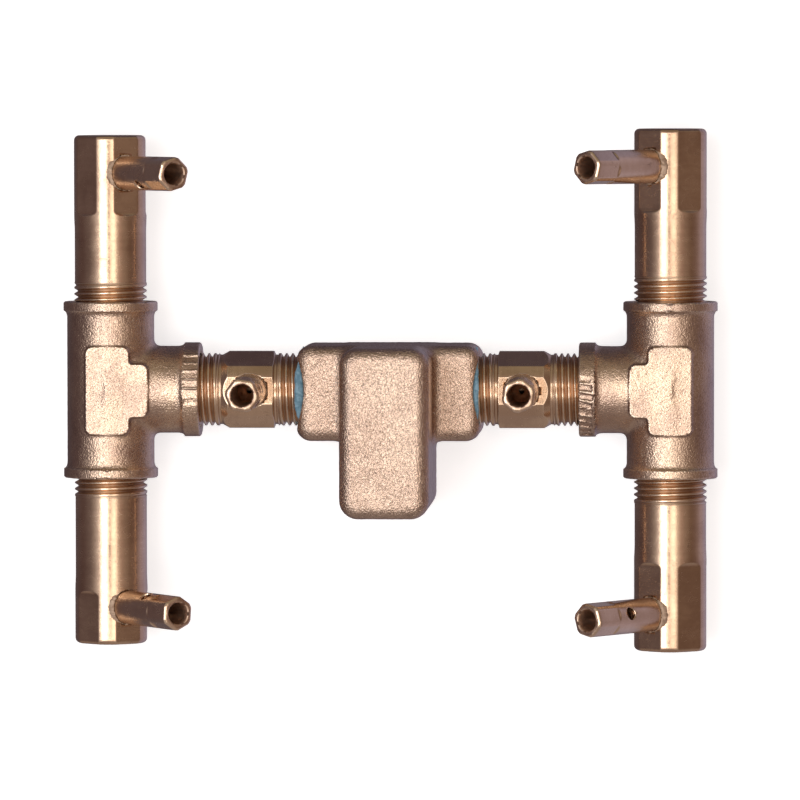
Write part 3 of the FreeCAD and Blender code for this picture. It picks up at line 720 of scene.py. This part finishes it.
def make_tee(side, bites, seed, material):
    """Cast tee whose branch points at the hub."""
    low, high = box_mm(side + "_tee")
    centre_x = joint_of("rear_" + side + "_barrel")["pos_m"][0] / MM
    half_run = high[1]
    band = (high[2] - low[2]) / 2
    reach = max(high[0] - centre_x, centre_x - low[0])
    sense = -1.0 if centre_x > 0 else 1.0
    inset = 0.06
    field = tee_field(reach - inset, half_run - inset, band - inset, bites)
    margin = 1.0
    corner_low = (-band - margin, -half_run - margin, -band - margin)
    corner_high = (reach + margin, half_run + margin, band + margin)
    place = attitude((centre_x, 0, AXIS_HEIGHT), Z, X * sense)
    return make_casting(side + "_cast_tee", side + "_tee", field, corner_low, corner_high, 0.42,
                        (seed, 1.6, 0.035), material, "cast_bronze_fitting", place)


def make_hub(material):
    """Cast hub with its four ports."""
    low, high = box_mm("hub_body")
    margin = 1.0
    inset = np.array((0.08, 0.08, 0.0))
    field = hub_field(low + inset, high - inset - np.array((0, 0, 0.08)))
    return make_casting("cast_hub", "hub_body", field, low - margin, high + margin, 0.45,
                        (7.0, 1.1, 0.05), material, "cast_bronze", np.eye(4))


# ---------------------------------------------------------------- beads of thread sealant

# Lumps for each millimetre around a bead.
PORT_WAVE = 0.55
JET_WAVE = 1.7

def make_bead(name, rows, heap, wave, seed, matrix, body, material):
    """Uneven ring of sealant around Z: rows are (height, radius, rise, spread).

    heap(angles) swells the ring, and so do lumps with this wave number; rise and spread are the shares
    of the swelling that go along Z and outwards.
    """
    ring = [row[:2] for row in rows]
    mesh = lathe(name + "_mesh", ring, BEAD_SEGMENTS, None)
    piece = new_object(name.replace("_sealant", "_bead"), mesh)
    rise, spread = np.repeat([row[2:] for row in rows], BEAD_SEGMENTS, axis=0).T
    points = vertices_of(mesh)
    angles = np.arctan2(points[:, 1], points[:, 0])
    shift = Vector((seed, 0.7 * seed, 0.3 * seed))
    lumps = np.array([noise.fractal(Vector(point) * wave + shift, 1.0, 2.0, 2)
                      for point in points.tolist()])
    swelling = heap(angles) + 0.28 * lumps
    points[:, 2] += rise * swelling
    points[:, :2] *= (1 + spread * swelling / np.hypot(points[:, 0], points[:, 1]))[:, None]
    mesh.vertices.foreach_set("co", points.ravel())
    mesh.update()
    return finish_piece(piece, matrix, body, "thread_sealant", material, name)


def port_bead_rows(inner, outer, foot, rim, crown):
    """Section of a bead that leans on the fitting: foot and rim are depths below the face."""
    middle = (inner + outer) / 2
    section = [(-foot, inner, 0.0), (-foot, outer - foot, 0.0),
               (-(foot + rim) / 2, outer - (foot + rim) / 2, 0.0),
               (-rim, outer - rim, 0.15), (crown - rim * 0.5, (middle + outer - rim) / 2, 0.8),
               (crown, middle, 1.0), (crown + 0.05, (inner + middle) / 2, 1.0), (crown, inner, 0.5),
               (-foot / 2, inner, 0.0)]
    return [(*row, 0.0) for row in section]


def no_heap(angles):
    """An even bead."""
    return np.zeros(len(angles))


def make_port_bead(name, sense, axis, face, across, material, seed):
    """Bead in the countersink of a tee port."""
    low, high = box_mm(name)
    mouth = PIPE["small"] + PIPE["pitch"] * GAUGE_TURNS * TAPER + COUNTERSINK
    rows = port_bead_rows(PIPE["cap"] + 0.05, mouth - 0.1, 0.7, 0.2, -0.25)
    centre = (low + high) / 2
    origin = np.where(np.abs(axis) > 0.5, face, centre)
    place = attitude(origin, axis * sense, across)
    return make_bead(name, rows, no_heap, PORT_WAVE, seed, place, "frame", material)


def make_dish_bead(name, sense, material, seed):
    """Bead in the dished mouth of a hub port, heaped where the compound was wiped on."""
    low, high = box_mm("hub_body")
    inner = PIPE["cap"] + 0.05
    rows = [(-2.8, inner, 0.0, 0.0), (-2.8, 11.15, 0.0, 0.0), (-2.1, 12.0, 0.1, 0.0), (-1.5, 12.6, 0.5, 0.0),
            (-1.25, 12.2, 1.0, 0.0), (-1.2, 11.6, 1.0, 0.0), (-1.3, 11.1, 0.9, 0.0), (-1.4, inner, 0.5, 0.0)]
    height = 1.3 - 0.5 * sense

    def heap(angles):
        return height * np.exp(-(np.abs(angles) / 0.78) ** 4) - 0.35

    place = attitude((high[0] * sense, 0, AXIS_HEIGHT), X * sense, Z)
    return make_bead(name, rows, heap, PORT_WAVE, seed, place, "frame", material)


def make_jet_bead(jet, body, flat, material):
    """Crinkled bead around a jet, heaped on the side that faces up."""
    joint = joint_of(jet)
    inner = JET["wall"] + 0.04
    rows = [(-0.05, inner, 0.0, 0.0), (-0.05, inner + 0.12, -0.8, 0.9), (0.02, inner + 0.2, -0.4, 1.0),
            (0.08, inner + 0.2, 0.2, 0.9), (0.12, inner + 0.18, 0.7, 0.6), (0.16, inner + 0.1, 1.0, 0.25),
            (0.14, inner, 1.1, 0.0), (0.05, inner, 0.5, 0.0)]
    axis = np.array(joint["axis"])
    upper = math.copysign(math.pi / 2, axis[0])

    def heap(angles):
        away = (angles - upper + math.pi) % TURN - math.pi
        return 1.5 * abs(axis[0]) * np.exp(-(away / 0.85) ** 4)

    foot = np.array(joint["pos_m"]) / MM + axis * (flat - SPOT["depth"])
    place = attitude(foot, axis, Y)
    return make_bead(jet + "_sealant", rows, heap, JET_WAVE, len(jet), place, body, material)


# ---------------------------------------------------------------- materials

def graph_of(material):
    """Empty node tree of a material, with its output and surface shader."""
    material.use_nodes = True
    tree = material.node_tree
    tree.nodes.clear()
    shader = tree.nodes.new("ShaderNodeBsdfPrincipled")
    output = tree.nodes.new("ShaderNodeOutputMaterial")
    tree.links.new(shader.outputs["BSDF"], output.inputs["Surface"])
    return tree, shader


def plug(tree, socket, value):
    """Link a socket, or set it when the value is a number or a colour."""
    if isinstance(value, bpy.types.NodeSocket):
        tree.links.new(value, socket)
    else:
        socket.default_value = value


def math_node(tree, operation, *values):
    """Result of a maths operation."""
    made = tree.nodes.new("ShaderNodeMath")
    made.operation = operation
    for socket, value in zip(made.inputs, values):
        plug(tree, socket, value)
    return made.outputs[0]


def ramp(tree, value, low, high, start=0.0, end=1.0):
    """Smooth step of a value between two levels."""
    made = tree.nodes.new("ShaderNodeMapRange")
    made.interpolation_type = "SMOOTHSTEP"
    for name, number in (("Value", value), ("From Min", low), ("From Max", high),
                         ("To Min", start), ("To Max", end)):
        plug(tree, made.inputs[name], number)
    return made.outputs["Result"]


def blend(tree, share, first, second, mode="MIX"):
    """Mix of two colours."""
    made = tree.nodes.new("ShaderNodeMix")
    made.data_type = "RGBA"
    made.blend_type = mode
    plug(tree, made.inputs[0], share)
    plug(tree, made.inputs[6], first if isinstance(first, bpy.types.NodeSocket) else (*first, 1.0))
    plug(tree, made.inputs[7], second if isinstance(second, bpy.types.NodeSocket) else (*second, 1.0))
    return made.outputs[2]


def clouds(tree, vector, scale, detail=3.0, roughness=0.55, distortion=0.0):
    """Noise in object space; scale is in cells a metre."""
    made = tree.nodes.new("ShaderNodeTexNoise")
    plug(tree, made.inputs["Vector"], vector)
    for name, number in (("Scale", scale), ("Detail", detail), ("Roughness", roughness),
                         ("Distortion", distortion)):
        made.inputs[name].default_value = number
    return made.outputs["Fac"]


def rings(tree, lathe_value, scale):
    """Noise that only changes along a turned piece's wall."""
    made = tree.nodes.new("ShaderNodeTexNoise")
    made.noise_dimensions = "1D"
    plug(tree, made.inputs["W"], lathe_value)
    made.inputs["Scale"].default_value = scale
    made.inputs["Detail"].default_value = 2.0
    return made.outputs["Fac"]


def stored(tree, name):
    """A number stored in the mesh."""
    made = tree.nodes.new("ShaderNodeAttribute")
    made.attribute_name = name
    return made.outputs["Fac"]


def bumped(tree, height, distance, normal=None):
    """Normal after a bump; distance is in metres."""
    made = tree.nodes.new("ShaderNodeBump")
    made.inputs["Distance"].default_value = distance
    made.inputs["Strength"].default_value = 1.0
    plug(tree, made.inputs["Height"], height)
    if normal is not None:
        plug(tree, made.inputs["Normal"], normal)
    return made.outputs["Normal"]


def object_space(tree, offset):
    """Coordinates that stay on the piece, moved by an offset so that no two pieces match."""
    coordinates = tree.nodes.new("ShaderNodeTexCoord")
    shift = tree.nodes.new("ShaderNodeVectorMath")
    shift.operation = "ADD"
    shift.inputs[1].default_value = offset
    tree.links.new(coordinates.outputs["Object"], shift.inputs[0])
    return shift.outputs[0]


def turned_metal(name, clean, tarnish, dark, roughness, seed):
    """Lathe-turned brass: cutter lines, tarnish clouds, painted shade in corners and worn edges."""
    material = bpy.data.materials.new(name)
    tree, shader = graph_of(material)
    place = object_space(tree, (seed, 0.7 * seed, 0.0))
    wall = stored(tree, "lathe")
    bend = stored(tree, "bend")
    lines = rings(tree, wall, 7.0)
    bands = rings(tree, wall, 0.6)
    cloud = clouds(tree, place, 70.0, 5.0, 0.6, 0.4)
    stains = clouds(tree, place, 310.0, 4.0, 0.65, 0.8)
    specks = clouds(tree, place, 2600.0, 2.0, 0.5)
    share = math_node(tree, "ADD", ramp(tree, cloud, 0.38, 0.66), ramp(tree, bands, 0.35, 0.75, 0.0, 0.25))
    colour = blend(tree, math_node(tree, "MINIMUM", share, 1.0), clean, tarnish)
    colour = blend(tree, ramp(tree, stains, 0.60, 0.78, 0.0, 0.55), colour, dark)
    colour = blend(tree, ramp(tree, specks, 0.66, 0.74, 0.0, 0.5), colour, dark)
    # painted shade: darker where the wall bends inwards, in corners, grooves and thread roots
    corner_shade = ramp(tree, math_node(tree, "MULTIPLY", bend, -1.0), 0.25, 0.95, 0.0, 0.6)
    colour = blend(tree, corner_shade, colour, dark)
    worn = ramp(tree, bend, 0.35, 0.95, 0.0, 0.65)
    colour = blend(tree, worn, colour, (0.98, 0.86, 0.70))
    bore_shade = stored(tree, "bore_shade")
    # painted shade: the inside of a jet's bore is darkened towards brown
    colour = blend(tree, math_node(tree, "MULTIPLY", bore_shade, 0.4), colour, (0.40, 0.24, 0.19))
    rough = math_node(tree, "ADD", ramp(tree, stains, 0.35, 0.75, -0.04, 0.10), roughness)
    rough = math_node(tree, "ADD", rough, ramp(tree, lines, 0.35, 0.65, -0.03, 0.03))
    rough = math_node(tree, "ADD", rough, math_node(tree, "MULTIPLY", corner_shade, 0.3))
    rough = math_node(tree, "ADD", rough, math_node(tree, "MULTIPLY", bore_shade, 0.25))
    normal = bumped(tree, lines, 0.000012)
    normal = bumped(tree, stains, 0.00002, normal)
    normal = bumped(tree, specks, 0.000003, normal)
    plug(tree, shader.inputs["Base Color"], colour)
    plug(tree, shader.inputs["Roughness"], rough)
    plug(tree, shader.inputs["Normal"], normal)
    shader.inputs["Metallic"].default_value = 1.0
    return material


def cast_metal(name, clean, tarnish, dark, roughness, grain, depth, seed):
    """Sand-cast bronze: grain and pits, smoke-like tarnish, painted shade in corners and rubbed high spots.
    """
    material = bpy.data.materials.new(name)
    tree, shader = graph_of(material)
    place = object_space(tree, (0.4 * seed, seed, 0.2 * seed))
    bend = stored(tree, "bend")
    cloud = clouds(tree, place, 55.0, 5.0, 0.6, 0.6)
    patches = clouds(tree, place, 240.0, 4.0, 0.6, 0.5)
    sand = clouds(tree, place, grain, 1.0, 0.5, 0.4)
    fine = clouds(tree, place, grain * 2.6, 2.0, 0.5, 0.6)
    cells = tree.nodes.new("ShaderNodeTexVoronoi")
    cells.inputs["Scale"].default_value = grain * 0.6
    tree.links.new(place, cells.inputs["Vector"])
    pits = ramp(tree, cells.outputs["Distance"], 0.10, 0.45)
    colour = blend(tree, ramp(tree, cloud, 0.36, 0.66), clean, tarnish)
    colour = blend(tree, ramp(tree, patches, 0.56, 0.78, 0.0, 0.28), colour, dark)
    colour = blend(tree, ramp(tree, sand, 0.46, 0.30, 0.0, 0.30), colour, dark)
    # painted shade: darker where the casting bends inwards, in corners and fillets
    corner_shade = ramp(tree, math_node(tree, "MULTIPLY", bend, -1.0), 0.12, 0.7, 0.0, 0.6)
    colour = blend(tree, corner_shade, colour, dark)
    worn = ramp(tree, bend, 0.16, 0.7, 0.0, 0.55)
    colour = blend(tree, worn, colour, (0.95, 0.80, 0.66))
    rough = math_node(tree, "ADD", ramp(tree, patches, 0.3, 0.7, -0.02, 0.04), roughness)
    rough = math_node(tree, "ADD", rough, math_node(tree, "MULTIPLY", corner_shade, 0.2))
    normal = bumped(tree, sand, depth)
    normal = bumped(tree, pits, depth * 0.2, normal)
    normal = bumped(tree, fine, depth * 0.3, normal)
    plug(tree, shader.inputs["Base Color"], colour)
    plug(tree, shader.inputs["Roughness"], rough)
    plug(tree, shader.inputs["Normal"], normal)
    shader.inputs["Metallic"].default_value = 1.0
    return material


def paste(name, light, dark, seed):
    """Pipe compound: matt, smeared and a little dusty."""
    material = bpy.data.materials.new(name)
    tree, shader = graph_of(material)
    place = object_space(tree, (seed, seed, seed))
    smear = clouds(tree, place, 420.0, 4.0, 0.6, 1.2)
    dust = clouds(tree, place, 2200.0, 3.0, 0.6)
    colour = blend(tree, ramp(tree, smear, 0.35, 0.68), dark, light)
    colour = blend(tree, ramp(tree, dust, 0.62, 0.75, 0.0, 0.4), colour, (0.62, 0.60, 0.56))
    plug(tree, shader.inputs["Base Color"], colour)
    plug(tree, shader.inputs["Roughness"], ramp(tree, smear, 0.3, 0.7, 0.35, 0.6))
    plug(tree, shader.inputs["Normal"], bumped(tree, dust, 0.00003, bumped(tree, smear, 0.00015)))
    return material


# ---------------------------------------------------------------- stage

# Backdrop brightness around the fittings: degrees from straight up towards +X, and a colour.
SURROUND = [
    (-180, (0.11, 0.09, 0.11)), (-140, (0.10, 0.080, 0.090)), (-100, (0.098, 0.068, 0.071)),
    (-66, (0.15, 0.12, 0.125)), (-51, (0.30, 0.26, 0.26)), (-37, (0.64, 0.60, 0.62)),
    (-30, (0.70, 0.64, 0.62)), (-7, (0.34, 0.28, 0.24)), (2, (0.34, 0.28, 0.24)), (20, (0.78, 0.70, 0.62)),
    (36, (0.39, 0.285, 0.25)), (49, (0.268, 0.203, 0.169)), (71, (0.166, 0.112, 0.088)),
    (87, (0.183, 0.127, 0.114)), (96, (0.233, 0.175, 0.176)), (116, (0.356, 0.302, 0.364)),
    (143, (0.361, 0.337, 0.471)), (180, (0.20, 0.18, 0.22)),
]
REAR_SIDE = (0.28, 0.24, 0.18)
REAR_BELOW = (0.085, 0.070, 0.090)
FRONT_SIDE = (0.30, 0.25, 0.23)
# Softboxes: centre x and y, width and depth in metres, radiance.
PANEL_HEIGHT = 2.3
PANELS = [
    (-0.82, 0.0, 1.00, 1.8, (3.0, 2.95, 2.9)),
    (0.44, 0.0, 0.72, 1.8, (1.5, 1.34, 1.2)),
    (-0.12, 0.74, 0.40, 0.46, (2.2, 2.1, 2.0)),
    (-0.12, -0.66, 0.40, 0.50, (2.2, 2.1, 2.0)),
]


def light_world():
    """Backdrop whose brightness follows the direction around the Y axis."""
    world = bpy.data.worlds.new("studio")
    bpy.context.scene.world = world
    world.use_nodes = True
    tree = world.node_tree
    tree.nodes.clear()
    coordinates = tree.nodes.new("ShaderNodeTexCoord")
    parts = tree.nodes.new("ShaderNodeSeparateXYZ")
    tree.links.new(coordinates.outputs["Generated"], parts.inputs[0])
    turn = math_node(tree, "ARCTAN2", parts.outputs["X"], parts.outputs["Z"])
    share = math_node(tree, "MULTIPLY_ADD", turn, 1 / TURN, 0.5)
    colours = tree.nodes.new("ShaderNodeValToRGB")
    colours.color_ramp.interpolation = "EASE"
    stops = colours.color_ramp.elements
    while len(stops) > 1:
        stops.remove(stops[-1])
    stops[0].position = 0.0
    stops[0].color = (*SURROUND[0][1], 1.0)
    for degrees, colour in SURROUND[1:]:
        stops.new(degrees / 360 + 0.5).color = (*colour, 1.0)
    tree.links.new(share, colours.inputs["Fac"])
    sideways = ramp(tree, math_node(tree, "ABSOLUTE", parts.outputs["Y"]), 0.45, 0.85)
    rear = blend(tree, ramp(tree, parts.outputs["Z"], -0.2, 0.2), REAR_BELOW, REAR_SIDE)
    side_on = blend(tree, ramp(tree, parts.outputs["Y"], -0.4, 0.4), FRONT_SIDE, rear)
    colour = blend(tree, sideways, colours.outputs["Color"], side_on)
    background = tree.nodes.new("ShaderNodeBackground")
    output = tree.nodes.new("ShaderNodeOutputWorld")
    tree.links.new(colour, background.inputs["Color"])
    tree.links.new(background.outputs["Background"], output.inputs["Surface"])


def light_panels():
    """Softboxes above the camera, with a gap between them where the camera stands."""
    for index, (x, y, width, depth, radiance) in enumerate(PANELS):
        light = bpy.data.lights.new(f"softbox_{index}", "AREA")
        light.shape = "RECTANGLE"
        light.size = width
        light.size_y = depth
        peak = max(radiance)
        light.energy = peak * math.pi * width * depth
        light.color = [value / peak for value in radiance]
        lamp = bpy.data.objects.new(light.name, light)
        lamp.location = (x, y, PANEL_HEIGHT)
        bpy.context.scene.collection.objects.link(lamp)


def lay_floor():
    """Pale floor under the object."""
    half = 3.0
    points = np.array([(-half, -half, 0), (half, -half, 0), (half, half, 0), (-half, half, 0)], float)
    floor = new_object("floor", mesh_from("floor_mesh", points, [(0, 1, 2, 3)]))
    material = bpy.data.materials.new("floor_paint")
    tree, shader = graph_of(material)
    shader.inputs["Base Color"].default_value = (0.90, 0.90, 0.92, 1.0)
    shader.inputs["Emission Color"].default_value = (0.96, 0.98, 1.0, 1.0)
    shader.inputs["Emission Strength"].default_value = 0.62
    shader.inputs["Roughness"].default_value = 0.9
    shader.inputs["Specular IOR Level"].default_value = 0.1
    floor.data.materials.append(material)
    floor.visible_glossy = False


def aim_camera():
    """Long lens almost straight above the object, a little to its right and rear."""
    position = Vector((0.0972, 0.0878, AXIS_HEIGHT * MM + 2.008))
    target = Vector((0.0029, -0.0031, AXIS_HEIGHT * MM))
    roll = Matrix.Rotation(math.radians(-0.062), 4, "Z")
    camera = bpy.data.objects.new("camera", bpy.data.cameras.new("camera"))
    camera.data.lens = 309.3
    camera.data.sensor_width = 36.0
    camera.data.clip_end = 20.0
    forward = (target - position).normalized()
    right = forward.cross(Vector(Y)).normalized()
    up = right.cross(forward)
    facing = Matrix((right, up, -forward)).transposed().to_4x4()
    camera.matrix_world = Matrix.Translation(position) @ facing @ roll
    bpy.context.scene.collection.objects.link(camera)
    bpy.context.scene.camera = camera


# ---------------------------------------------------------------- the burner

brass = [turned_metal(f"turned_brass_{index}", (0.84, 0.62, 0.44), (0.68, 0.48, 0.34), (0.30, 0.19, 0.13),
                      0.19, 1.3 * index + 0.4) for index in range(2)]
jet_brass = turned_metal("jet_brass", (0.93, 0.71, 0.53), (0.80, 0.59, 0.43), (0.30, 0.19, 0.13), 0.18, 3.1)
cast_fitting = cast_metal("cast_bronze_fitting", (0.81, 0.62, 0.47), (0.60, 0.44, 0.35), (0.22, 0.15, 0.13),
                          0.22, 2000.0, 0.00015, 2.0)
cast_hub = cast_metal("cast_bronze_hub", (0.73, 0.56, 0.45), (0.60, 0.45, 0.36), (0.28, 0.20, 0.16),
                      0.21, 2000.0, 0.00023, 5.0)
compound = paste("pipe_compound", (0.30, 0.52, 0.68), (0.13, 0.29, 0.42), 4.0)
dry_compound = paste("dry_pipe_compound", (0.52, 0.40, 0.30), (0.24, 0.16, 0.11), 9.0)
pale_compound = paste("pale_pipe_compound", (0.70, 0.53, 0.40), (0.34, 0.23, 0.16), 6.0)

make_hub(cast_hub)
make_tee("left", LEFT_BITES, 2.0, cast_fitting)
make_tee("right", RIGHT_BITES, 11.0, cast_fitting)
make_nipple("left_nipple", brass[0])
make_nipple("right_nipple", brass[1])
for name in HEADS:
    make_barrel(name, brass["right" in name])
for name, clock in (("rear_left_jet", -134), ("front_left_jet", 116), ("rear_right_jet", 165),
                    ("front_right_jet", 17)):
    make_jet(name, BARREL["flat"] - BARREL["seat_turns"] * TAP["pitch"], jet_brass, clock)
    make_jet_bead(name, name.replace("_jet", "_barrel"), BARREL["flat"], pale_compound)
for side, clock, sense in (("left", 22, -1.0), ("right", -8, 1.0)):
    name = side + "_centre_jet"
    make_jet(name, NIPPLE["flat"] - NIPPLE["seat_turns"] * TAP["pitch"], jet_brass, clock)
    make_jet_bead(name, "frame", NIPPLE["flat"], pale_compound)
    make_dish_bead(side + "_hub_sealant", sense, compound, 3.0 + sense)
    tee_low, tee_high = box_mm(side + "_tee")
    face = tee_high[0] if sense < 0 else tee_low[0]
    make_port_bead(side + "_branch_sealant", -sense, X, face, Z, dry_compound, 5.0 + sense)
    for end, direction in (("rear", 1.0), ("front", -1.0)):
        make_port_bead(f"{end}_{side}_run_sealant", direction, Y, direction * tee_high[1], Z, dry_compound,
                       8.0 + sense + direction)

light_world()
light_panels()
lay_floor()
aim_camera()
bpy.context.scene.view_settings.view_transform = "Standard"
